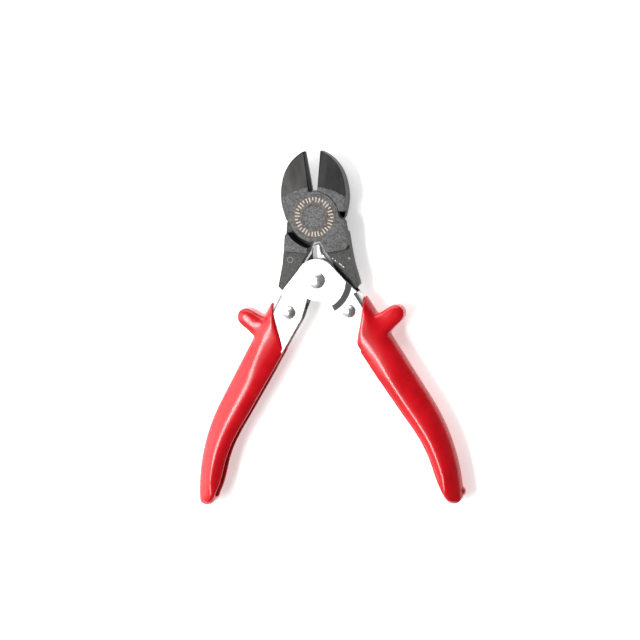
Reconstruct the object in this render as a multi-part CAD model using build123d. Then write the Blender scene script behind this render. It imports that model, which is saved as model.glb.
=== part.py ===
from build123d import *
import math
import os

# Compound-leverage flush cutter, in millimetres, drawn fully open and lying flat.
# +Y points to the blade tips, +Z is the thickness, and the origin is under the middle.
# Everything is first drawn about the jaw pivot, at mid-thickness, and moved at the end.

# ---- linkage (seen from above, open position) ----
handle_pivot_drop = 29.4      # jaw pivot to handle pivot, along Y
link_pivot_x = 14.4           # each link rivet, out from the centre line
link_pivot_drop = 44.4        # jaw pivot to the link rivets, along Y
jaw_open_angle = 6.6          # each jaw's turn from closed to open, degrees

# ---- levels through the thickness, measured from mid-thickness ----
jaw_half = 5.0                # lap joint and pads
tail_half = 3.0               # jaw tails
sheet = 1.5                   # handle steel
slide_gap = 0.1               # between parts that slide flat on each other
grip_half = 7.5               # outside of the dipped grips
coat = 1.2                    # dipped coat outside the steel
lining = 0.8                  # dipped coat inside the channel
lip_coat = 0.4                # outside of the dipped lip, out from the lip line
lip_setback = 0.6             # steel edge inside it, in from the lip line
back_depth = 8.8              # steel's closed side to the middle of its round back
crown_flat = 1.5              # flat band down the middle of each handle
crown_radius = 24.0           # crowned side from there to the lip
crown_run = 9.0

# ---- jaws ----
disc_radius = 11.8            # half-lap disc
disc_gap = 0.2                # disc to the other jaw's blade
groove_radius = 15.0          # relief round the disc on the tail side
tip_reach = 30.6              # jaw pivot to the blade tips
blade_width = 14.1            # centre line to the widest point of a blade
tip_half = 2.1                # blade half-thickness at the tip
grind_radius = 31.3           # ground blade face starts on this arc
grind_step = 0.25             # depth of the step at that arc
edge_bevel = 0.65             # bevel of the cutting edge, across
edge_gap = 0.05               # each edge to the centre line when closed
pad_bottom = 17.2             # jaw pivot to the foot of the raised pads
pad_width = 14.0              # centre line to the outside of a pad
tail_inside = 5.0             # centre line to a tail's inner edge, closed
tail_bulge = 15.5             # centre line to the stop corner of a tail, closed
tail_bulge_drop = 34.2
eye_radius = 5.2              # round end of each tail

# ---- pins and rivets ----
jaw_pin_radius = 4.0
jaw_pin_head_radius = 5.3
jaw_pin_head_depth = 1.4
handle_rivet_radius = 2.5
handle_rivet_head_radius = 4.05
handle_rivet_dome = 1.15
bush_radius = 3.4
link_rivet_radius = 2.2
link_rivet_head_radius = 3.2
link_rivet_dome = 1.5
run_gap = 0.05                # radial clearance of a running fit
open_pivot_gap = 0.35         # radial clearance at the opened link pivot

# ---- handles ----
head_radius = 9.8
joggle_start = 13.9           # radii from the handle pivot
joggle_end = 16.6
flare_start = 36.0
flare_end = 62.0
web_top = (20.1, -36.3)       # outer corner of the channel's closed side
web_angle = 30.5              # its slope from -Y, degrees
web_straight = 58.5
web_bend_radius = 93.6
web_bend = 28.9
grip_end_radius = 3.5
grip_end_turn = 149.3
lip_end_radius = 48.5
lip_end_turn = 18.2
lip_bend_radius = 69.6
lip_bend_turn = 18.3
lip_kink = (8.7, -47.4)
lip_top = (5.3, -37.7)
shoulder = (18.4, -35.6)      # where the plate's upper edge meets the web
coat_top_along = 3.8          # dipped coat starts this far down the web
coat_foot = (17.7, -62.3)     # and here on the channel's lip
right_coat_rise = 1.8         # the right grip's coat reaches this much higher
lip_foot = (18.0, -62.1)
ear_centre = (35.9, -46.3)
ear_radius = 3.6
ear_half = 4.6
ear_root_top = (27.4, -46.2)
ear_root_low = (33.2, -54.6)
ear_core = 1.5                # coat over the ear's steel core

# ---- return spring ----
spring_strip = 0.9            # thickness of the legs
spring_half = 2.5
spring_crest_radius = 2.1
spring_crest_drop = 15.0      # jaw pivot to the centre of the crest
spring_gap = 0.15

REACH = 60.0                  # longer than any cut needs to be

# ---- worked-out places ----
HANDLE_PIVOT = Vector(0, -handle_pivot_drop)
LINK_RIGHT = Vector(link_pivot_x, -link_pivot_drop)
plate_in = tail_half + slide_gap
plate_out = plate_in + sheet
over_in = plate_out + slide_gap
over_out = over_in + sheet
channel_out = grip_half - coat
channel_in = channel_out - sheet
lining_in = channel_in - lining


def turned(point, angle):
    """The point turned about the jaw pivot by an angle in degrees."""
    return Vector(point).rotate(Axis.Z, angle)


def outline(*lines):
    """A face from lines and arcs that run head to tail."""
    return make_face([edge for line in lines for edge in line.edges()])


def polygon(*points):
    return make_face(Polyline(*points, close=True))


def slab(face, low, high):
    """The face as a plate between two levels."""
    return Pos(0, 0, low) * extrude(face, high - low)


def disc(radius, low, high, centre=(0, 0)):
    place = Pos(Vector(centre)) * Pos(0, 0, low)
    return place * Cylinder(radius, high - low, align=(Align.CENTER, Align.CENTER, Align.MIN))


def half_turn(shape):
    """The same piece on the other side: half a turn about the Y axis."""
    return Rot(0, 180, 0) * shape


# ---------------------------------------------------------------- jaws
def blade_face(foot):
    """Left blade seen from above, jaws closed, down to the given foot outline."""
    tip = Vector(-1.1, tip_reach)
    shoulder_point = Vector(-0.88 * blade_width, 0.63 * tip_reach)
    side = Vector(-blade_width + 0.1, 4.5)
    return outline(
        Line((0, foot[-1][1]), (0, tip_reach)),
        Line((0, tip_reach), tip),
        ThreePointArc(tip, (-0.545 * blade_width, 0.866 * tip_reach), shoulder_point),
        ThreePointArc(shoulder_point, (-blade_width, 0.41 * tip_reach), side),
        Polyline(side, *foot),
        Line(foot[-1], (0, foot[-1][1])),
    )


def ground_face():
    """What grinding takes off the upper side of both blades: a shallow cone with a step."""
    arc_centre = 14.0 - grind_radius
    edge = jaw_half - grind_step
    slope = (edge - tip_half) / (tip_reach - 14.0)
    far = grind_radius + 30.0
    profile = Polyline(
        (grind_radius, 0, jaw_half + 1),
        (grind_radius, 0, edge),
        (far, 0, edge - slope * (far - grind_radius)),
        (far, 0, jaw_half + 1),
        close=True,
    )
    return Pos(0, arc_centre, 0) * revolve(make_face(profile), Axis.Z, 360)


def edge_wedge():
    """The space right of the left blade's bevelled cutting edge."""
    profile = Polyline(
        (-edge_gap, 0, 0),
        (-edge_gap - edge_bevel, 0, jaw_half),
        (4, 0, jaw_half),
        (4, 0, -jaw_half),
        (-edge_gap - edge_bevel, 0, -jaw_half),
        close=True,
    )
    length = tip_reach + 1 - disc_radius
    return Pos(0, tip_reach + 1, 0) * extrude(make_face(profile), length, dir=(0, -1, 0))


def tail_face():
    """Right tail seen from above, jaws closed, with its eye at the link rivet."""
    eye = turned(LINK_RIGHT, -jaw_open_angle)
    left = eye.X - eye_radius
    right = eye.X + eye_radius
    inner_knee = Vector(tail_inside, -pad_bottom - 5.2)
    arm = polygon(
        (pad_width - 0.2, -12.0),
        (pad_width + 0.2, -24.0),
        (tail_bulge, -tail_bulge_drop),
        (tail_bulge - 3.6, -tail_bulge_drop - 3.2),
        (right - 1.6, eye.Y + 3.5),
        (right - 0.2, eye.Y),
        (left, eye.Y),
        (tail_inside, eye.Y + 7.0),
        inner_knee,
        (2.4, -pad_bottom),
        (2.4, -12.0),
    )
    return arm + Pos(eye.X, eye.Y) * Circle(eye_radius)


def near_pad_face():
    """Pad on the jaw's own half of the lap, joined to its disc."""
    block = polygon(
        (disc_radius - 0.1, -1.2),
        (pad_width - 0.1, -4.2),
        (pad_width, -pad_bottom),
        (2.6, -pad_bottom),
        (1.9, -13.9),
        (0.7, -11.4),
        (0, -6),
        (8, 0),
    )
    corner = block.vertices().sort_by(Axis.X)[-1:].sort_by(Axis.Y)[:1]
    return fillet(corner, 2.8)


def far_pad_face():
    """Pad on the other half of the lap, outside the relief groove."""
    block = polygon(
        (pad_width - 0.5, -8.6),
        (pad_width - 0.5, -pad_bottom),
        (2.2, -pad_bottom),
        (2.2, -8.6),
    )
    corner = block.vertices().group_by(Axis.X)[-1].sort_by(Axis.Y)[-1:]
    return fillet(corner, 1.8)


def jaw(eye_hole):
    """The front jaw: left blade, upper half of the lap, right tail, jaws closed."""
    foot_own = [(-blade_width + 0.6, 1.0), (-12.5, -0.8), (-10.5, -1.4)]
    foot_other = [(-blade_width + 0.15, 3.7), (-9.0, 3.7)]
    own = slab(blade_face(foot_own), 0, jaw_half)
    own += disc(disc_radius, 0, jaw_half)
    own += slab(near_pad_face(), 0, jaw_half)
    other = slab(blade_face(foot_other), -jaw_half, 0)
    other -= disc(disc_radius + disc_gap, -jaw_half - 1, 1)
    below = slab(far_pad_face(), -jaw_half, 0) - disc(groove_radius, -jaw_half - 1, 1)
    tail = slab(tail_face(), -tail_half, tail_half) - disc(groove_radius, -tail_half - 1, 0)
    body = own + other + below + tail
    body -= edge_wedge()
    grinding = ground_face()
    body -= grinding
    body -= half_turn(grinding)
    body -= disc(jaw_pin_radius + run_gap, -jaw_half, jaw_half + 1)
    body -= jaw_pin_head(run_gap)
    eye = turned(LINK_RIGHT, -jaw_open_angle)
    body -= disc(eye_hole, -tail_half - 1, tail_half + 1, eye)
    return body


def jaw_pin_head(gap):
    """Cone under the flush upper face of the jaw pin, or its seat."""
    depth = jaw_pin_head_depth
    cone = Cone(
        jaw_pin_radius + gap,
        jaw_pin_head_radius + gap,
        depth,
        align=(Align.CENTER, Align.CENTER, Align.MAX),
    )
    return Pos(0, 0, jaw_half) * cone


def jaw_pin():
    shank = disc(jaw_pin_radius, -jaw_half, jaw_half)
    return shank + jaw_pin_head(0) + half_turn(jaw_pin_head(0))


# ------------------------------------------------------------- handles
def web_path(shift, start_along=0.0):
    """The channel's closed side, moved outwards by shift: straight, bend and round end."""
    heading = Vector(0, -1).rotate(Axis.Z, web_angle)
    outwards = heading.rotate(Axis.Z, 90)
    start = Vector(*web_top) + outwards * shift + heading * start_along
    straight = Line(start, start + heading * (web_straight - start_along))
    bend = JernArc(straight @ 1, straight % 1, web_bend_radius + shift, -web_bend)
    return straight, bend


def grip_outline(web_shift, lip_shift, start_along, closing):
    """Handle seen from above; closing runs from the lip's upper end back to the web."""
    straight, bend = web_path(web_shift, start_along)
    end_radius = grip_end_radius + (web_shift + lip_shift) / 2
    end = JernArc(bend @ 1, bend % 1, end_radius, -grip_end_turn)
    lip_end = JernArc(end @ 1, end % 1, lip_end_radius + lip_shift, -lip_end_turn)
    lip_bend = JernArc(lip_end @ 1, lip_end % 1, lip_bend_radius - lip_shift, lip_bend_turn)
    back = closing(lip_bend @ 1, straight @ 0)
    return outline(straight, bend, end, lip_end, lip_bend, *back)


def plate_closing(lip_end, web_start):
    """Bare steel: lip, round head and sloping upper edge."""
    start_angle = math.degrees(math.atan2(lip_top[1] + handle_pivot_drop, lip_top[0]))
    span = Vector(*shoulder) - HANDLE_PIVOT
    tangent_angle = math.degrees(math.atan2(span.Y, span.X) + math.acos(head_radius / span.length))
    top = HANDLE_PIVOT + Vector(head_radius, 0).rotate(Axis.Z, tangent_angle)
    low = HANDLE_PIVOT + Vector(head_radius, 0).rotate(Axis.Z, start_angle)
    left = HANDLE_PIVOT + Vector(-head_radius, 0)
    return [
        Line(lip_end, lip_foot),
        Line(lip_foot, lip_kink),
        Line(lip_kink, low),
        ThreePointArc(low, left, top),
        Line(top, shoulder),
        Line(shoulder, web_start),
    ]


def coat_closing(rise):
    """Dipped coat: lip, then the slanting edge of the coat."""
    up_lip = (Vector(*lip_kink) - Vector(*lip_foot)).normalized()
    foot = Vector(*coat_foot) + up_lip * rise

    def closing(lip_end, web_start):
        middle = (foot + web_start) * 0.5 + Vector(0.4, 0.1)
        return [Line(lip_end, foot), ThreePointArc(foot, middle, web_start)]

    return closing


def levels(plate, over, channel):
    """Body of revolution about the handle pivot that bounds the sheet at each radius."""
    far = 3 * REACH
    level_out = [(1, 0, 0), (1, 0, 0)]
    lower = Spline((flare_start, 0, -plate), (flare_end, 0, -channel), tangents=level_out)
    upper = Spline((flare_start, 0, plate), (flare_end, 0, channel), tangents=level_out)
    profile = outline(
        Line((0, 0, -plate), (flare_start, 0, -plate)),
        lower,
        Polyline((flare_end, 0, -channel), (far, 0, -channel), (far, 0, channel), (flare_end, 0, channel)),
        upper,
        Polyline((flare_start, 0, plate), (joggle_end, 0, plate), (joggle_start, 0, over), (0, 0, over)),
        Line((0, 0, over), (0, 0, -plate)),
    )
    return Pos(0, -handle_pivot_drop, 0) * revolve(profile, Axis.Z, 360)


def crown_drop(run):
    return crown_radius - math.sqrt(crown_radius**2 - run**2)


def crowned_sides(half):
    """Section of the channel from the middle of its round back to beyond the lip."""
    bend = Vector(-crown_flat - crown_run / 2, half - crown_drop(crown_run / 2))
    low = Vector(-crown_flat - crown_run, half - crown_drop(crown_run))
    upper = [
        Line((0, half), (-crown_flat, half)),
        ThreePointArc((-crown_flat, half), bend, low),
        Line(low, (-REACH, low.Y)),
    ]
    lower = [mirror(edge, Plane.XZ) for edge in upper]
    return outline(*upper, Line((-REACH, low.Y), (-REACH, -low.Y)), *lower, Line((0, -half), (0, half)))


def channel_sweep(shift, half):
    """Round-backed U along the closed side, deep enough to take in the whole head."""
    straight, bend = web_path(shift, -REACH / 2)
    end = Line(bend @ 1, bend @ 1 + (bend % 1) * 12)
    path = Wire([*straight.edges(), *bend.edges(), *end.edges()])
    frame = Plane(origin=straight @ 0, x_dir=(straight % 0).rotate(Axis.Z, 90), z_dir=straight % 0)
    depth = back_depth + shift
    profile = Ellipse(depth, half) + crowned_sides(half)
    return sweep(frame * (Pos(-depth, 0) * profile), path)


def channel_body(shift, half):
    """The channel with the flat linkage plates above it, before the levels bound it."""
    heading = Vector(0, -1).rotate(Axis.Z, web_angle)
    outwards = heading.rotate(Axis.Z, 90)
    low = Vector(*shoulder) + outwards * REACH
    high = Vector(*shoulder) - outwards * REACH
    head = polygon(low, high, high - heading * REACH, low - heading * REACH)
    return channel_sweep(shift, half) + slab(head, -REACH, REACH)


def void_face(shift):
    """Inside of the channel seen from above, open at the lip and at the head."""
    straight, bend = web_path(shift)
    end = JernArc(bend @ 1, bend % 1, grip_end_radius + shift, -115)
    way_out = end @ 1 + Vector(-REACH, 15)
    left = Vector(-REACH, -REACH / 2)
    over_head = Vector(-REACH, REACH / 2)
    right = (straight @ 0) + Vector(REACH / 3, REACH / 2)
    beside = (straight @ 0) + Vector(REACH / 3, 0)
    return outline(
        straight,
        bend,
        end,
        Polyline(end @ 1, way_out, left, over_head, right, beside, straight @ 0),
    )


def channel_void(shift, half, plate, over):
    """Everything inside the sheet or inside the lining."""
    inside = slab(void_face(shift), -REACH, REACH)
    return inside & channel_body(shift, half) & levels(plate, over, half)


def ear_face(shrink):
    """Finger guard seen from above, running into the grip."""
    centre = Vector(*ear_centre)
    tip = Pos(centre.X, centre.Y) * Circle(ear_radius - shrink)
    along = (centre - (Vector(*ear_root_top) + Vector(*ear_root_low)) * 0.5).normalized()
    side = along.rotate(Axis.Z, 90)
    inner = -along * 4.0
    neck = polygon(
        centre + side * (ear_radius - shrink),
        Vector(*ear_root_top) - side * shrink,
        Vector(*ear_root_top) - side * shrink + inner,
        Vector(*ear_root_low) + side * shrink + inner,
        Vector(*ear_root_low) + side * shrink,
        centre - side * (ear_radius - shrink),
    )
    return tip + neck


def handle(extra_hole):
    """The right handle: pressed channel with flat plates at the linkage."""
    plan = grip_outline(0, -lip_setback, 0, plate_closing)
    body = slab(plan, -REACH, REACH)
    body = body & channel_body(0, channel_out) & levels(plate_out, over_out, channel_out)
    void = channel_void(-sheet, channel_in, plate_in, over_in)
    body -= void
    core = slab(ear_face(ear_core), -ear_half + ear_core, ear_half - ear_core)
    body += core - slab(void_face(-sheet / 2), -REACH, REACH)
    body -= disc(handle_rivet_radius + extra_hole, -REACH, REACH, HANDLE_PIVOT)
    body -= disc(link_rivet_radius, -REACH, REACH, LINK_RIGHT)
    return body


def grip(steel, rise):
    """The dipped coat on the right handle, outside, inside and over its edges."""
    plan = grip_outline(coat, lip_coat, coat_top_along - 1.4 * rise, coat_closing(rise))
    body = slab(plan, -REACH, REACH)
    body = body & channel_sweep(coat, grip_half) & levels(plate_out + coat, plate_out + coat, grip_half)
    ear = slab(ear_face(0), -ear_half, ear_half) - slab(void_face(-sheet / 2), -REACH, REACH)
    body += ear
    body -= channel_void(-sheet - lining, lining_in, plate_in - lining, plate_in - lining)
    body -= steel
    return body


# ------------------------------------------------- rivets, bush, spring
def domed_rivet(radius, head_radius_, dome, seat, centre):
    """Rivet with a low dome at each end, seated on plates at +-seat."""
    ball = (head_radius_**2 + dome**2) / (2 * dome)
    head = Pos(0, 0, seat + dome - ball) * Sphere(ball)
    head = head & disc(head_radius_ + 1, seat, seat + dome + 1)
    shank = disc(radius, -seat, seat)
    return Pos(centre.X, centre.Y, 0) * (shank + head + half_turn(head))


def handle_bush():
    body = disc(bush_radius, -plate_in + run_gap, plate_in - run_gap, HANDLE_PIVOT)
    return body - disc(handle_rivet_radius, -REACH, REACH, HANDLE_PIVOT)


def return_spring():
    """Hairpin spring between the tails: a closed nose towards the jaw pivot, and two strip legs."""
    mid_radius = spring_crest_radius - spring_strip / 2
    centre_y = -spring_crest_drop
    knee = turned((tail_inside, -pad_bottom - 5.2), jaw_open_angle)
    foot = knee + Vector(0.35 - spring_strip / 2 - spring_gap, -2.2)
    bend = Vector(mid_radius + 0.35, centre_y - 2.4)
    right = [
        Line((mid_radius, centre_y), bend),
        Line(bend, foot),
    ]
    left = [mirror(edge, Plane.YZ) for edge in right]
    crest = ThreePointArc((-mid_radius, centre_y), (0, centre_y + mid_radius), (mid_radius, centre_y))
    line = Wire([edge for piece in (left[1], left[0], crest, *right) for edge in piece.edges()])
    strip = trace(line, spring_strip)
    nose_foot = -handle_pivot_drop + head_radius - 1.0
    share = (nose_foot - bend.Y) / (foot.Y - bend.Y)
    low = bend + (foot - bend) * share
    nose = Pos(0, centre_y) * Circle(mid_radius)
    nose += polygon(
        (-mid_radius, centre_y),
        (mid_radius, centre_y),
        (bend.X, bend.Y),
        (low.X, low.Y),
        (-low.X, low.Y),
        (-bend.X, bend.Y),
    )
    return slab(strip + nose, -spring_half, spring_half)


# ------------------------------------------------------------ assembly
tip_open = turned((-1.1, tip_reach), jaw_open_angle).Y
grip_low = grip_outline(coat, lip_coat, coat_top_along, coat_closing(0)).bounding_box().min.Y
SHIFT = Pos(0, -(tip_open + grip_low) / 2, grip_half)

front_jaw = Rot(0, 0, jaw_open_angle) * jaw(link_rivet_radius + open_pivot_gap)
back_jaw = half_turn(Rot(0, 0, jaw_open_angle) * jaw(link_rivet_radius + run_gap))
right_handle = handle(run_gap)
left_handle = half_turn(handle(0))

nodes = {
    "front_jaw": front_jaw,
    "back_jaw": back_jaw,
    "jaw_pin": jaw_pin(),
    "right_handle": right_handle,
    "left_handle": left_handle,
    "right_grip": grip(right_handle, right_coat_rise),
    "left_grip": half_turn(grip(handle(0), 0)),
    "handle_rivet": domed_rivet(
        handle_rivet_radius, handle_rivet_head_radius, handle_rivet_dome, over_out + run_gap, HANDLE_PIVOT
    ),
    "handle_bush": handle_bush(),
    "right_link_rivet": domed_rivet(
        link_rivet_radius, link_rivet_head_radius, link_rivet_dome, plate_out, LINK_RIGHT
    ),
    "left_link_rivet": half_turn(
        domed_rivet(link_rivet_radius, link_rivet_head_radius, link_rivet_dome, plate_out, LINK_RIGHT)
    ),
    "return_spring": return_spring(),
}

os.makedirs("parts", exist_ok=True)
for name, shape in nodes.items():
    export_step(SHIFT * shape, f"parts/{name}.step")
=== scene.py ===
import math

import bmesh
import bpy
import numpy as np
from mathutils import Matrix, Vector


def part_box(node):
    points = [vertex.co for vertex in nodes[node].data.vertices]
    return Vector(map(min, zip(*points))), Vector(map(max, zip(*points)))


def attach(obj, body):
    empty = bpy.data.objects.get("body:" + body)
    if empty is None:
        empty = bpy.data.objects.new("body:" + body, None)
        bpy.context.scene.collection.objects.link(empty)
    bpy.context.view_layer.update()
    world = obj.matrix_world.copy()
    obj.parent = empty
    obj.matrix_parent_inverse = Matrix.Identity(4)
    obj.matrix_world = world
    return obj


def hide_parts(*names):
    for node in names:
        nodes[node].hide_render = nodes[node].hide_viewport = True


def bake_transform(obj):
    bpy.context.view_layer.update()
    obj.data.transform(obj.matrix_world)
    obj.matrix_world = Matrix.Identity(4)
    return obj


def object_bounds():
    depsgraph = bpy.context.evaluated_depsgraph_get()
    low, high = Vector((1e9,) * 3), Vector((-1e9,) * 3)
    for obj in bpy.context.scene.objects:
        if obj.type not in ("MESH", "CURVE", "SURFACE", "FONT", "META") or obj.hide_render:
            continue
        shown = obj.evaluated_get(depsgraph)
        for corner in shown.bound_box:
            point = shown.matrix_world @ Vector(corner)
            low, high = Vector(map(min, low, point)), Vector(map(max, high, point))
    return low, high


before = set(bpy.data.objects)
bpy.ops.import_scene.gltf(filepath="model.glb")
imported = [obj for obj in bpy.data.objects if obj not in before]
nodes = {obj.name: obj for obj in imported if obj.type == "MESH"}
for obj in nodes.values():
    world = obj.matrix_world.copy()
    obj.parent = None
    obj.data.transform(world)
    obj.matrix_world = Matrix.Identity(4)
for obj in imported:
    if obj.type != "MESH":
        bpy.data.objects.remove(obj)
cad_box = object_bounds()
MM = 0.001


def middle(node):
    low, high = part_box(node)
    return (Vector(low) + Vector(high)) / 2


# ---------------------------------------------------------------- places, from the CAD
JAW_PIVOT = middle("jaw_pin")
HANDLE_PIVOT = middle("handle_rivet")

# sizes of the looks, in millimetres
JAW_OPEN = math.radians(6.6)       # each jaw's turn from closed
GRIND_RADIUS = 31.3                # start of the ground blade faces
GRIND_START = 14.0                 # its distance from the jaw pivot
MARK_RING = (6.9, 9.2)             # ring of tick marks round the jaw pivot
MARKS = 34

# the grips, from the jaw pivot, as in the CAD
WEB_TOP = (20.1, -36.3)            # outer corner of the handle's closed side
WEB_SLOPE = 30.5
WEB_STRAIGHT = 58.5
WEB_BEND = 93.6
COAT = 1.2
GRIP_HALF = 7.5
CAD_CREST = 10.0                   # closed side to the middle of the round back
CAD_FLAT = 1.5
CAD_CROWN = 24.0
CREST = 0.60                       # crest of the dipped section, part of its width
LIP_REACH = 1.4                    # half-axis of its lip side, beyond the lip
LIP_FOOT_ALONG = 24.0              # where the lip starts, down the closed side
END_ALONG = 104.0
EAR = (35.9, -46.3)                # end of the finger guard
EAR_SWELL = 0.55
NIB_ALONG = 104.5                  # drip left by the dip, at the right grip's end
NIB_OUT = 1.2
COAT_FOOT = (18.6, -62.3)          # the coat's slanting edge, just inside it: at the lip
COAT_HEAD = (23.2, -38.0)          # and at the closed side
STEEL_OVERLAP = 0.7                # bare steel runs on this far under the coat
BIN = 2.0                          # step along the grip when its width is measured
BINS = 61
CAMERA_ANGLES = (13.7, 6.6, 2.84)  # yaw, pitch and roll
CAMERA_DISTANCE = 1.2              # metres
CAMERA_LENS = 144.5


# ---------------------------------------------------------------- material helper
class Surface:
    """A node material with short calls for the nodes it uses. Distances are in millimetres."""

    def __init__(self, name, **sockets):
        self.material = bpy.data.materials.new(name)
        self.material.use_nodes = True
        self.tree = self.material.node_tree
        self.shader = self.tree.nodes["Principled BSDF"]
        for socket, value in sockets.items():
            self.set(socket.replace("_", " "), value)
        place = self.node("ShaderNodeTexCoord").outputs["Object"]
        self.place = self.vector("SCALE", place, scale=1 / MM)

    def node(self, kind, inputs=None, **settings):
        made = self.tree.nodes.new(kind)
        for key, value in settings.items():
            setattr(made, key, value)
        for key, value in (inputs or {}).items():
            self.put(made.inputs[key], value)
        return made

    def put(self, socket, value):
        if isinstance(value, bpy.types.NodeSocket):
            self.tree.links.new(value, socket)
        else:
            socket.default_value = value

    def set(self, socket, value):
        self.put(self.shader.inputs[socket], value)

    def vector(self, operation, a, b=None, scale=None):
        made = self.node("ShaderNodeVectorMath", {0: a}, operation=operation)
        if b is not None:
            self.put(made.inputs[1], b)
        if scale is not None:
            self.put(made.inputs["Scale"], scale)
        single = operation in ("LENGTH", "DOT_PRODUCT", "DISTANCE")
        return made.outputs["Value" if single else "Vector"]

    def math(self, operation, a, b=0.0, clamp=False):
        made = self.node("ShaderNodeMath", {0: a, 1: b}, operation=operation, use_clamp=clamp)
        return made.outputs[0]

    def step(self, value, low, high, smooth=True):
        """0 below low, 1 above high; low may be the larger one."""
        made = self.node("ShaderNodeMapRange", {"Value": value, "From Min": low, "From Max": high})
        made.interpolation_type = "SMOOTHSTEP" if smooth else "LINEAR"
        made.clamp = True
        return made.outputs["Result"]

    def band(self, value, low, high, soft):
        above = self.step(value, low - soft, low + soft)
        below = self.step(value, high + soft, high - soft)
        return self.math("MULTIPLY", above, below)

    def parts(self, vector):
        return self.node("ShaderNodeSeparateXYZ", {0: vector}).outputs

    def turned(self, vector, angle):
        values = {"Vector": vector, "Angle": angle}
        return self.node("ShaderNodeVectorRotate", values, rotation_type="Z_AXIS").outputs[0]

    def stretched(self, sizes, turn=0.0, place=None):
        """The place divided by a grain size per axis, after a turn about Z."""
        return self.vector("DIVIDE", self.turned(place or self.place, turn), sizes)

    def noise(self, sizes, detail=3.0, rough=0.55, turn=0.0, place=None):
        where = self.stretched(sizes, turn, place)
        values = {"Vector": where, "Scale": 1.0, "Detail": detail, "Roughness": rough}
        return self.node("ShaderNodeTexNoise", values).outputs["Fac"]

    def mix(self, factor, a, b):
        made = self.node("ShaderNodeMix", {"Factor": factor}, data_type="RGBA")
        self.put(made.inputs[6], a)
        self.put(made.inputs[7], b)
        return made.outputs[2]

    def blend(self, factor, a, b):
        made = self.node("ShaderNodeMix", {0: factor, 2: a, 3: b}, data_type="FLOAT")
        return made.outputs[0]

    def bump(self, height, distance, strength=1.0, normal=None):
        values = {"Height": height, "Distance": distance * MM, "Strength": strength}
        made = self.node("ShaderNodeBump", values)
        if normal is not None:
            self.put(made.inputs["Normal"], normal)
        return made.outputs[0]

    def rounded(self, radius):
        return self.node("ShaderNodeBevel", {"Radius": radius * MM}, samples=6).outputs[0]

    def edges(self, radius, low=0.02, high=0.25):
        """1 along the worn edges."""
        flat = self.node("ShaderNodeNewGeometry").outputs["Normal"]
        turned = self.math("SUBTRACT", 1.0, self.vector("DOT_PRODUCT", self.rounded(radius), flat))
        return self.step(turned, low, high)


def grey(value, warm=0.0):
    return (value * (1 + warm), value, value * (1 - warm), 1.0)


def dress(obj, surface):
    obj.data.materials.clear()
    obj.data.materials.append(surface.material)


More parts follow.
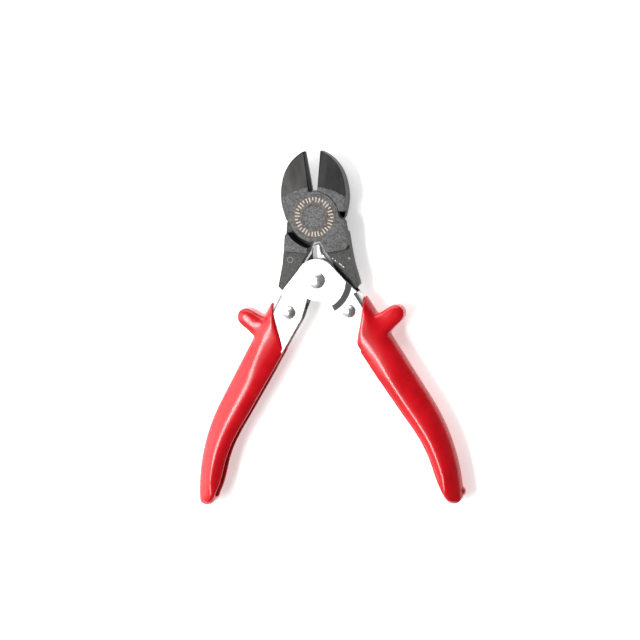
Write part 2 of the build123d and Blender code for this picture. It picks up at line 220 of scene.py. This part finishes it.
# ---------------------------------------------------------------- jaw steel
def jaw_surface(name, turn, side, warm):
    """Forged and ground jaw. side is -1 on the jaw whose blade is on the left."""
    s = Surface(name, Metallic=1.0)
    centred = s.vector("SUBTRACT", s.place, JAW_PIVOT / MM)
    local = s.turned(centred, turn)
    x, y, z = s.parts(local)
    height = s.math("ABSOLUTE", z)
    across = s.math("MULTIPLY", x, side)
    normal = s.parts(s.node("ShaderNodeNewGeometry").outputs["Normal"])
    facing = s.step(s.math("ABSOLUTE", normal[2]), 0.6, 0.8)

    arc = s.vector("DISTANCE", s.vector("MULTIPLY", local, (1, 1, 0)), (0, GRIND_START - GRIND_RADIUS, 0))
    ground = s.math("MULTIPLY", s.step(arc, GRIND_RADIUS - 0.05, GRIND_RADIUS + 0.05), facing)
    # strip: band on the cutting bevel along each blade's inner edge, painted near black below as shade
    strip = s.math("MULTIPLY", s.step(across, 0.95, 0.75), s.step(y, 11.5, 12.5))
    radius = s.vector("LENGTH", s.vector("MULTIPLY", local, (1, 1, 0)))
    tail = s.step(height, 3.3, 3.0)

    # ground faces: fine lines along the blade; forged faces: mottled
    lines = s.noise((0.16, 9.0, 2.0), 4.0, 0.6, place=local)
    broad = s.noise((3.5, 14.0, 4.0), 2.0, place=local)
    mottle = s.noise((0.8, 0.8, 0.8), 5.0, 0.7)
    grain = s.noise((0.22, 0.22, 0.22), 3.0, 0.7)
    cloud = s.noise((4.5, 4.5, 4.5), 2.0)

    ground_tone = s.mix(s.step(lines, 0.3, 0.7), grey(0.040, warm), grey(0.066, warm * 0.6))
    ground_tone = s.mix(s.step(broad, 0.35, 0.7), ground_tone, grey(0.072, warm * 0.4))
    forged_tone = s.mix(s.step(mottle, 0.35, 0.68), grey(0.052, 0.02), grey(0.120, -0.01))
    forged_tone = s.mix(s.math("MULTIPLY", s.step(cloud, 0.45, 0.75), 0.6), forged_tone, grey(0.10, 0.02))
    rust = s.band(radius, MARK_RING[0] - 0.4, MARK_RING[1] + 0.5, 1.3)
    rust = s.math("MULTIPLY", rust, s.step(s.noise((1.6, 1.6, 1.6), 3.0), 0.4, 0.7))
    forged_tone = s.mix(s.math("MULTIPLY", rust, 0.6), forged_tone, (0.16, 0.085, 0.05, 1.0))
    tail_tone = s.mix(s.step(mottle, 0.3, 0.75), grey(0.042, 0.02), grey(0.080, 0.01))
    tone = s.mix(tail, forged_tone, tail_tone)
    tone = s.mix(ground, tone, ground_tone)
    side_tone = s.mix(s.step(mottle, 0.3, 0.7), grey(0.055), grey(0.085))
    tone = s.mix(facing, side_tone, tone)
    # painted shade: the cutting bevels along the blades' inner edges are painted near black
    tone = s.mix(strip, tone, grey(0.008))
    # painted shade: crevices and gaps turn near black, from ambient occlusion
    ao_for_painted_shade = s.node("ShaderNodeAmbientOcclusion", {"Distance": 3.0 * MM}, samples=6).outputs["AO"]
    tone = s.mix(s.step(ao_for_painted_shade, 0.25, 0.85), grey(0.004), tone)

    # bright worn edges and scratches
    worn = s.math("MULTIPLY", s.edges(0.28), s.step(s.noise((1.5, 1.5, 1.5), 3.0), 0.36, 0.62))
    tone = s.mix(s.math("MULTIPLY", worn, 0.5), tone, grey(0.42))
    scratch_line = s.noise((5.0, 0.10, 5.0), 2.0, 0.5, turn=0.35)
    scratch = s.math("MULTIPLY", s.step(scratch_line, 0.70, 0.76), s.step(cloud, 0.5, 0.62))
    tone = s.mix(s.math("MULTIPLY", scratch, 0.35), tone, grey(0.45))

    # tool marks on the tails, on both faces
    flat = s.vector("MULTIPLY", centred, (1, 1, 0))
    if side < 0:
        dot = s.step(s.vector("DISTANCE", flat, (15.4, -19.9, 0)), 0.65, 0.4)
        place = s.parts(s.turned(centred, 0.68))
        rub = s.math("MULTIPLY", s.band(place[1], -11.0, -10.5, 0.15), s.band(place[0], 18.0, 25.0, 0.5))
        dashes = s.step(s.noise((0.7, 0.7, 0.7), 2.0), 0.47, 0.56)
        tool_mark = s.math("MAXIMUM", s.math("MULTIPLY", dot, 0.25), s.math("MULTIPLY", rub, dashes))
    else:
        ring_mark = s.band(s.vector("DISTANCE", flat, (-13.0, -19.9, 0)), 1.15, 1.4, 0.12)
        tool_mark = s.math("MULTIPLY", ring_mark, 0.2)
    tool_mark = s.math("MULTIPLY", s.math("MULTIPLY", tool_mark, tail), facing)
    tone = s.mix(tool_mark, tone, grey(0.62))

    # ring of tick marks, on the flush face round the pin
    angle = s.math("ARCTAN2", x, y)
    turns = s.math("MULTIPLY", angle, MARKS / (2 * math.pi))
    index = s.math("FLOOR", turns)
    within = s.math("ABSOLUTE", s.math("SUBTRACT", s.math("FRACT", turns), 0.5))
    third = s.math("FRACT", s.math("DIVIDE", s.math("ADD", index, 0.5), 3.0))
    long_mark = s.step(third, 0.3, 0.34)
    inner = s.blend(long_mark, MARK_RING[0] + 0.9, MARK_RING[0])
    past_inner = s.step(s.math("SUBTRACT", radius, inner), -0.1, 0.1)
    within_outer = s.step(radius, MARK_RING[1] + 0.1, MARK_RING[1] - 0.1)
    ring = s.math("MULTIPLY", past_inner, within_outer)
    bar = s.step(within, 0.24, 0.17)
    top = s.step(height, 4.9, 4.98)
    mark = s.math("MULTIPLY", s.math("MULTIPLY", ring, bar), s.math("MULTIPLY", top, facing))
    own_face = s.step(s.math("MULTIPLY", z, -side), 0.0, 1.0)
    mark = s.math("MULTIPLY", mark, own_face)
    chipped = s.math("MULTIPLY", mark, s.step(grain, 0.34, 0.46))
    tone = s.mix(chipped, tone, (0.62, 0.57, 0.49, 1.0))

    s.set("Base Color", tone)
    forged_rough = s.blend(s.step(mottle, 0.3, 0.7), 0.52, 0.40)
    ground_rough = s.blend(s.step(lines, 0.3, 0.7), 0.42, 0.33)
    rough = s.blend(ground, forged_rough, ground_rough)
    s.set("Roughness", s.blend(chipped, rough, 0.8))
    s.set("Metallic", s.math("SUBTRACT", 1.0, chipped))
    relief = s.math("ADD", s.math("MULTIPLY", mottle, 0.7), s.math("MULTIPLY", grain, 0.3))
    relief = s.blend(ground, relief, s.math("MULTIPLY", lines, 0.25))
    relief = s.math("SUBTRACT", relief, s.math("MULTIPLY", mark, 0.5))
    s.set("Normal", s.bump(relief, 0.10, 0.6, s.rounded(0.25)))
    return s


dress(nodes["front_jaw"], jaw_surface("front_jaw_steel", -JAW_OPEN, -1.0, 0.045))
dress(nodes["back_jaw"], jaw_surface("back_jaw_steel", JAW_OPEN, 1.0, 0.012))


def pin_surface():
    s = Surface("pin_steel", Metallic=1.0)
    mottle = s.noise((0.9, 0.9, 0.9), 5.0, 0.7)
    fine = s.noise((0.15, 1.8, 0.5), 3.0, 0.6, turn=0.5)
    tone = s.mix(s.step(mottle, 0.35, 0.68), grey(0.055, 0.02), grey(0.135, -0.01))
    tone = s.mix(s.math("MULTIPLY", s.step(fine, 0.62, 0.75), 0.3), tone, grey(0.30))
    s.set("Base Color", tone)
    s.set("Roughness", s.blend(s.step(mottle, 0.3, 0.7), 0.5, 0.38))
    s.set("Normal", s.bump(s.math("ADD", mottle, s.math("MULTIPLY", fine, 0.3)), 0.08, 0.6, s.rounded(0.15)))
    return s


dress(nodes["jaw_pin"], pin_surface())
dress(nodes["handle_bush"], pin_surface())


# ---------------------------------------------------------------- bright steel
def bright_surface(name, tone_low, tone_high, rough, grain, relief, metallic=1.0, slope=0.0):
    """Plated steel: faint rolled grain, cloudy plating and fine scratches. slope paints grey shade on steep
    faces.
    """
    s = Surface(name, Metallic=metallic)
    cloud = s.noise((6.0, 6.0, 6.0), 3.0)
    rolled = s.noise(grain, 4.0, 0.6)
    speck = s.noise((0.25, 0.25, 0.25), 2.0, 0.6)
    tone = s.mix(s.step(cloud, 0.3, 0.7), tone_low, tone_high)
    worn = s.edges(0.2)
    tone = s.mix(s.math("MULTIPLY", worn, 0.35), tone, grey(0.35))
    scratch = s.step(s.noise((4.0, 0.07, 4.0), 2.0, 0.5, turn=0.9), 0.72, 0.78)
    tone = s.mix(s.math("MULTIPLY", scratch, 0.18), tone, grey(0.5))
    up = s.parts(s.node("ShaderNodeNewGeometry").outputs["Normal"])[2]
    # painted shade: steep faces such as the joggle turn grey, as much as slope asks
    sloped = s.band(s.math("ABSOLUTE", up), 0.70, 0.955, 0.02)
    tone = s.mix(s.math("MULTIPLY", sloped, slope), tone, grey(0.30, -0.01))
    # painted shade: recesses turn grey, from ambient occlusion
    ao_for_painted_shade = s.node("ShaderNodeAmbientOcclusion", {"Distance": 2.0 * MM}, samples=6).outputs["AO"]
    tone = s.mix(s.step(ao_for_painted_shade, 0.25, 0.85), grey(0.16, 0.03), tone)
    s.set("Base Color", tone)
    s.set("Roughness", s.blend(s.step(rolled, 0.3, 0.7), rough, rough + 0.09))
    height = s.math("ADD", s.math("MULTIPLY", rolled, 0.6), s.math("MULTIPLY", speck, 0.4))
    s.set("Normal", s.bump(height, relief, 0.5, s.rounded(0.25)))
    return s


plate = bright_surface(
    "plated_sheet", grey(0.86, 0.015), grey(0.94, 0.01), 0.34, (0.3, 4.0, 1.0), 0.02, 0.6, slope=1.0
)
rivet = bright_surface(
    "plated_rivet", grey(0.80, 0.01), grey(0.88, 0.0), 0.24, (1.6, 1.6, 1.6), 0.002, 0.85
)
strip = bright_surface(
    "spring_strip", grey(0.60, 0.0), grey(0.84, 0.0), 0.30, (2.0, 2.0, 2.0), 0.01
)
# painted reflection and shade: the polished strip is painted darker on the side where it faces the dark jaw
from_middle = strip.math("SUBTRACT", strip.parts(strip.place)[0], JAW_PIVOT.x / MM)
bright_tone = strip.shader.inputs["Base Color"].links[0].from_socket
jaw_reflection_and_shade_tone = strip.mix(strip.step(from_middle, 0.6, -0.2), bright_tone, grey(0.20, 0.0))
# painted shadow: further left, the leg in the gap by the left tail is painted near black
strip.set("Base Color", strip.mix(strip.step(from_middle, -1.6, -2.2), jaw_reflection_and_shade_tone, grey(0.012, 0.0)))
dress(nodes["right_handle"], plate)
dress(nodes["left_handle"], plate)
dress(nodes["handle_rivet"], rivet)
dress(nodes["right_link_rivet"], rivet)
dress(nodes["left_link_rivet"], rivet)
dress(nodes["return_spring"], strip)


# ---------------------------------------------------------------- dipped vinyl
def vinyl_surface():
    s = Surface("dipped_vinyl", IOR=1.48, Coat_Weight=1.0, Coat_Roughness=0.20, Subsurface_Weight=0.05)
    s.set("Specular IOR Level", 0.06)
    s.shader.subsurface_method = "RANDOM_WALK"
    s.set("Subsurface Radius", (0.003, 0.0006, 0.0004))
    cloud = s.noise((9.0, 9.0, 9.0), 3.0)
    peel = s.noise((1.1, 1.1, 1.1), 2.0, 0.5)
    swell = s.noise((7.0, 7.0, 7.0), 2.0, 0.5)
    dust = s.noise((0.12, 0.12, 0.12), 2.0, 0.6)
    tone = s.mix(s.step(cloud, 0.3, 0.7), (0.60, 0.002, 0.008, 1.0), (0.70, 0.004, 0.012, 1.0))
    s.set("Base Color", tone)
    rough = s.blend(s.step(cloud, 0.35, 0.7), 0.42, 0.52)
    s.set("Roughness", s.math("ADD", rough, s.math("MULTIPLY", s.step(dust, 0.6, 0.75), 0.08)))
    height = s.math("ADD", s.math("MULTIPLY", peel, 0.12), s.math("MULTIPLY", swell, 0.45))
    s.set("Normal", s.bump(height, 0.25, 0.35))
    return s


vinyl = vinyl_surface()


def copy_of(*names):
    """One mesh object holding copies of these CAD nodes' meshes."""
    joined = bmesh.new()
    for name in names:
        joined.from_mesh(nodes[name].data)
    bmesh.ops.remove_doubles(joined, verts=joined.verts[:], dist=0.0005 * MM)
    mesh = bpy.data.meshes.new("copy")
    joined.to_mesh(mesh)
    joined.free()
    obj = bpy.data.objects.new("copy", mesh)
    bpy.context.scene.collection.objects.link(obj)
    return obj


def applied(obj):
    """Turns the object's modifiers into its mesh."""
    graph = bpy.context.evaluated_depsgraph_get()
    mesh = bpy.data.meshes.new_from_object(obj.evaluated_get(graph))
    old = obj.data
    obj.modifiers.clear()
    obj.data = mesh
    bpy.data.meshes.remove(old)
    return obj


def coat_line(mirror):
    """A point just inside the coat's slanting edge, and the way into the coat. mirror is -1 on the left."""
    foot = JAW_PIVOT + Vector((COAT_FOOT[0] * mirror, COAT_FOOT[1], 0)) * MM
    head = JAW_PIVOT + Vector((COAT_HEAD[0] * mirror, COAT_HEAD[1], 0)) * MM
    along = (head - foot).normalized()
    return foot, Vector((along.y, -along.x, 0)) * mirror


def along_and_depth(points, mirror):
    """Distances in millimetres down the grip's closed side, and in from it, for rows of points."""
    x = (points[:, 0] - JAW_PIVOT.x) / MM * mirror - WEB_TOP[0]
    y = (points[:, 1] - JAW_PIVOT.y) / MM - WEB_TOP[1]
    slope = math.radians(WEB_SLOPE)
    along = x * math.sin(slope) - y * math.cos(slope)
    depth = COAT - x * math.cos(slope) - y * math.sin(slope)
    over = along - WEB_STRAIGHT
    inward = WEB_BEND + COAT - depth
    bent = over > 0
    along = np.where(bent, WEB_STRAIGHT + WEB_BEND * np.arctan2(over, inward), along)
    depth = np.where(bent, WEB_BEND + COAT - np.hypot(over, inward), depth)
    return along, depth


def cad_height(depth):
    """Half the thickness of the CAD grip, so far in from its closed side."""
    back = np.sqrt(np.clip(1 - ((CAD_CREST - depth) / CAD_CREST) ** 2, 0.0, 1.0))
    run = np.clip(depth - CAD_CREST - CAD_FLAT, 0.0, 10.0)
    side = 1 - (CAD_CROWN - np.sqrt(CAD_CROWN**2 - run**2)) / GRIP_HALF
    return np.where(depth < CAD_CREST, back, side)


def soft_height(depth, width):
    """The same for the dipped coat: an egg section with its crest beyond the middle."""
    crest = CREST * width
    reach = np.where(depth < crest, crest, LIP_REACH * (width - crest))
    return np.sqrt(np.clip(1 - ((depth - crest) / reach) ** 2, 0.0, 1.0))


def rounded_grip(obj, mirror):
    """Gives the skin the egg section, and its finger guard a full round end."""
    mesh = obj.data
    points = np.empty(len(mesh.vertices) * 3)
    mesh.vertices.foreach_get("co", points)
    points = points.reshape(-1, 3)
    along, depth = along_and_depth(points, mirror)
    bins = np.clip((along - LIP_FOOT_ALONG) / BIN, 0, BINS - 1).astype(int)
    widths = np.array([depth[bins == i].max() if (bins == i).any() else 0.0 for i in range(BINS)])
    widths[0] = widths[1]
    last = int(np.nonzero(widths > 9.0)[0][-1])
    widths[last:] = widths[last]
    padded = np.concatenate([np.full(3, widths[0]), widths, np.full(3, widths[-1])])
    widths = np.convolve(padded, np.full(7, 1 / 7), mode="valid")
    width = np.interp((along - LIP_FOOT_ALONG) / BIN - 0.5, np.arange(BINS), widths)
    wanted = soft_height(depth, width) / np.maximum(cad_height(depth), 0.1)
    scale = np.clip(wanted, 0.80, 1.06)
    fade = np.clip((depth - 1.5) / 3.0, 0, 1) * np.clip((END_ALONG - along) / 8.0, 0, 1)
    points[:, 2] = JAW_PIVOT.z + (points[:, 2] - JAW_PIVOT.z) * (1 + (scale - 1) * fade)
    if mirror > 0:
        height = (points[:, 2] - JAW_PIVOT.z) / MM
        away = np.sqrt((along - NIB_ALONG) ** 2 + np.clip(depth, 0, None) ** 2 + height**2)
        points[:, 0] += NIB_OUT * MM * np.clip(1 - (away / 2.2) ** 2, 0, 1)
    ear = np.array([JAW_PIVOT.x + EAR[0] * MM * mirror, JAW_PIVOT.y + EAR[1] * MM])
    away = points[:, :2] - ear
    reach = np.hypot(away[:, 0], away[:, 1])
    swell = EAR_SWELL * MM * np.clip((6.5 * MM - reach) / (2.5 * MM), 0, 1)
    points[:, :2] += away / np.maximum(reach, 1e-6)[:, None] * swell[:, None]
    mesh.vertices.foreach_set("co", points.ravel())
    mesh.update()


def skin_weights(obj, mirror):
    """1 on the broad faces, 0 near the lip and the coat's slanting edge, for the extra smoothing."""
    points = np.array([v.co for v in obj.data.vertices])
    foot, out = coat_line(mirror)
    from_edge = (points - np.array(foot)) @ np.array(out) / MM
    height = np.abs(points[:, 2] - JAW_PIVOT.z) / MM
    _, depth = along_and_depth(points, mirror)
    inside_edge = np.clip((from_edge - 2.0) / 4.0, 0, 1)
    on_face = np.clip((height - 3.0) / 2.0, 0, 1)
    off_lip = np.clip((16.0 - depth) / 3.0, 0, 1)
    return inside_edge * on_face * off_lip


def soft_grip(side, name):
    """The dipped coat as one soft skin: its CAD body and the steel in it, remeshed and smoothed."""
    grip_node = side + "_grip"
    obj = copy_of(side + "_handle")
    obj.name = name
    mirror = 1.0 if side == "right" else -1.0
    bm = bmesh.new()
    bm.from_mesh(obj.data)
    foot, out = coat_line(mirror)
    whole = bm.verts[:] + bm.edges[:] + bm.faces[:]
    bmesh.ops.bisect_plane(bm, geom=whole, plane_co=foot, plane_no=out, clear_inner=True)
    bmesh.ops.holes_fill(bm, edges=[e for e in bm.edges if e.is_boundary], sides=0)
    bm.from_mesh(nodes[grip_node].data)
    bm.to_mesh(obj.data)
    bm.free()
    remesh = obj.modifiers.new("skin", "REMESH")
    remesh.mode = "VOXEL"
    remesh.voxel_size = 0.45 * MM
    smooth = obj.modifiers.new("soft", "SMOOTH")
    smooth.factor = 0.5
    smooth.iterations = 30
    applied(obj)
    broad = obj.vertex_groups.new(name="broad")
    for index, weight in enumerate(skin_weights(obj, mirror)):
        broad.add([index], float(weight), "REPLACE")
    extra = obj.modifiers.new("broad", "SMOOTH")
    extra.factor = 0.5
    extra.iterations = 320
    extra.vertex_group = "broad"
    applied(obj)
    obj.vertex_groups.clear()
    rounded_grip(obj, mirror)
    for face in obj.data.polygons:
        face.use_smooth = True
    dress(obj, vinyl)
    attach(obj, side + "_side")
    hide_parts(grip_node)
    return obj


def bare_steel(side, name):
    """The handle's steel without the stretch that the dipped coat hides."""
    mirror = 1.0 if side == "right" else -1.0
    obj = copy_of(side + "_handle")
    obj.name = name
    foot, out = coat_line(mirror)
    bm = bmesh.new()
    bm.from_mesh(obj.data)
    whole = bm.verts[:] + bm.edges[:] + bm.faces[:]
    edge = foot + out * STEEL_OVERLAP * MM
    bmesh.ops.bisect_plane(bm, geom=whole, plane_co=edge, plane_no=out, clear_outer=True)
    bmesh.ops.holes_fill(bm, edges=[e for e in bm.edges if e.is_boundary], sides=0)
    bm.to_mesh(obj.data)
    bm.free()
    obj.data.set_sharp_from_angle(angle=math.radians(20))
    for face in obj.data.polygons:
        face.use_smooth = abs(face.normal.z) < 0.985
    dress(obj, plate)
    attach(obj, side + "_side")
    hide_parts(side + "_handle")
    return obj


for side in ("right", "left"):
    soft_grip(side, side + "_grip_skin")
    bare_steel(side, side + "_plates")


def springy(name):
    """The return spring, fine enough to bend."""
    obj = copy_of("return_spring")
    obj.name = name
    bm = bmesh.new()
    bm.from_mesh(obj.data)
    for _ in range(3):
        long = [e for e in bm.edges if e.calc_length() > 1.2 * MM]
        bmesh.ops.subdivide_edges(bm, edges=long, cuts=1)
        bmesh.ops.triangulate(bm, faces=bm.faces[:])
    bm.to_mesh(obj.data)
    bm.free()
    for face in obj.data.polygons:
        face.use_smooth = True
    obj.data.set_sharp_from_angle(angle=math.radians(40))
    dress(obj, strip)
    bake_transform(obj)
    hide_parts("return_spring")
    return obj


springy("hairpin_spring")


# ---------------------------------------------------------------- floor, light, camera
def floor():
    bm = bmesh.new()
    bmesh.ops.create_grid(bm, x_segments=2, y_segments=2, size=3.0)
    mesh = bpy.data.meshes.new("floor")
    bm.to_mesh(mesh)
    bm.free()
    obj = bpy.data.objects.new("floor", mesh)
    bpy.context.scene.collection.objects.link(obj)
    obj.location.z = cad_box[0][2] - 0.0001
    s = Surface("pale_floor", Roughness=0.9)
    fine = s.noise((30.0, 30.0, 30.0), 2.0)
    s.set("Base Color", s.mix(fine, (0.93, 0.93, 0.93, 1), (0.95, 0.95, 0.95, 1)))
    s.set("Emission Color", (1, 1, 1, 1))
    s.set("Emission Strength", 0.5)
    dress(obj, s)


floor()


def area_light(name, place, size, power, target=(0, 0, 0.0075), along=(0, 1, 0)):
    """A soft box. size is across and along; along is the direction of its second side."""
    light = bpy.data.lights.new(name, "AREA")
    light.shape = "RECTANGLE"
    light.size, light.size_y = size
    light.energy = power
    obj = bpy.data.objects.new(name, light)
    bpy.context.scene.collection.objects.link(obj)
    back = (Vector(place) - Vector(target)).normalized()
    across = Vector(along).cross(back).normalized()
    turn = Matrix((across, back.cross(across), back)).transposed().to_4x4()
    obj.matrix_world = Matrix.Translation(place) @ turn
    return obj


def surroundings():
    """Pale room: bright overhead and on the left, darker low on the right."""
    world = bpy.data.worlds.new("room")
    bpy.context.scene.world = world
    world.use_nodes = True
    tree = world.node_tree
    place = tree.nodes.new("ShaderNodeTexCoord").outputs["Generated"]
    split = tree.nodes.new("ShaderNodeSeparateXYZ")
    tree.links.new(place, split.inputs[0])
    ramp = tree.nodes.new("ShaderNodeMapRange")
    ramp.inputs["From Min"].default_value = -0.62
    ramp.inputs["From Max"].default_value = -0.10
    ramp.inputs["To Min"].default_value = 0.70
    ramp.inputs["To Max"].default_value = 0.07
    tree.links.new(split.outputs[0], ramp.inputs["Value"])
    back = tree.nodes["Background"]
    tree.links.new(ramp.outputs[0], back.inputs["Strength"])
    back.inputs["Color"].default_value = (1, 1, 1, 1)


surroundings()
area_light("left_softbox", (-0.95, 0.0, 0.55), (1.2, 0.7), 5.0)
area_light("top_softbox", (-0.25, 0.85, 0.65), (0.6, 1.2), 7.0, along=(1, 0, 0))
area_light("strip_light", (-0.42, -0.13, 0.88), (0.13, 0.6), 5.5)


def camera():
    yaw, pitch, roll = (math.radians(angle) for angle in CAMERA_ANGLES)
    back = Vector((math.sin(yaw) * math.cos(pitch), math.sin(pitch), math.cos(yaw) * math.cos(pitch)))
    level = Vector((math.cos(yaw), 0, -math.sin(yaw)))
    rise = back.cross(level)
    right = level * math.cos(roll) - rise * math.sin(roll)
    up = level * math.sin(roll) + rise * math.cos(roll)
    target = Vector((JAW_PIVOT.x, HANDLE_PIVOT.y + 0.4 * MM, JAW_PIVOT.z))
    target = target + right * 0.21 * MM - up * 19.68 * MM
    data = bpy.data.cameras.new("camera")
    data.lens = CAMERA_LENS
    data.sensor_width = 36.0
    data.clip_end = 20.0
    obj = bpy.data.objects.new("camera", data)
    bpy.context.scene.collection.objects.link(obj)
    turn = Matrix((right, up, back)).transposed().to_4x4()
    obj.matrix_world = Matrix.Translation(target + back * CAMERA_DISTANCE) @ turn
    bpy.context.scene.camera = obj


camera()
bpy.context.scene.view_settings.view_transform = "Standard"
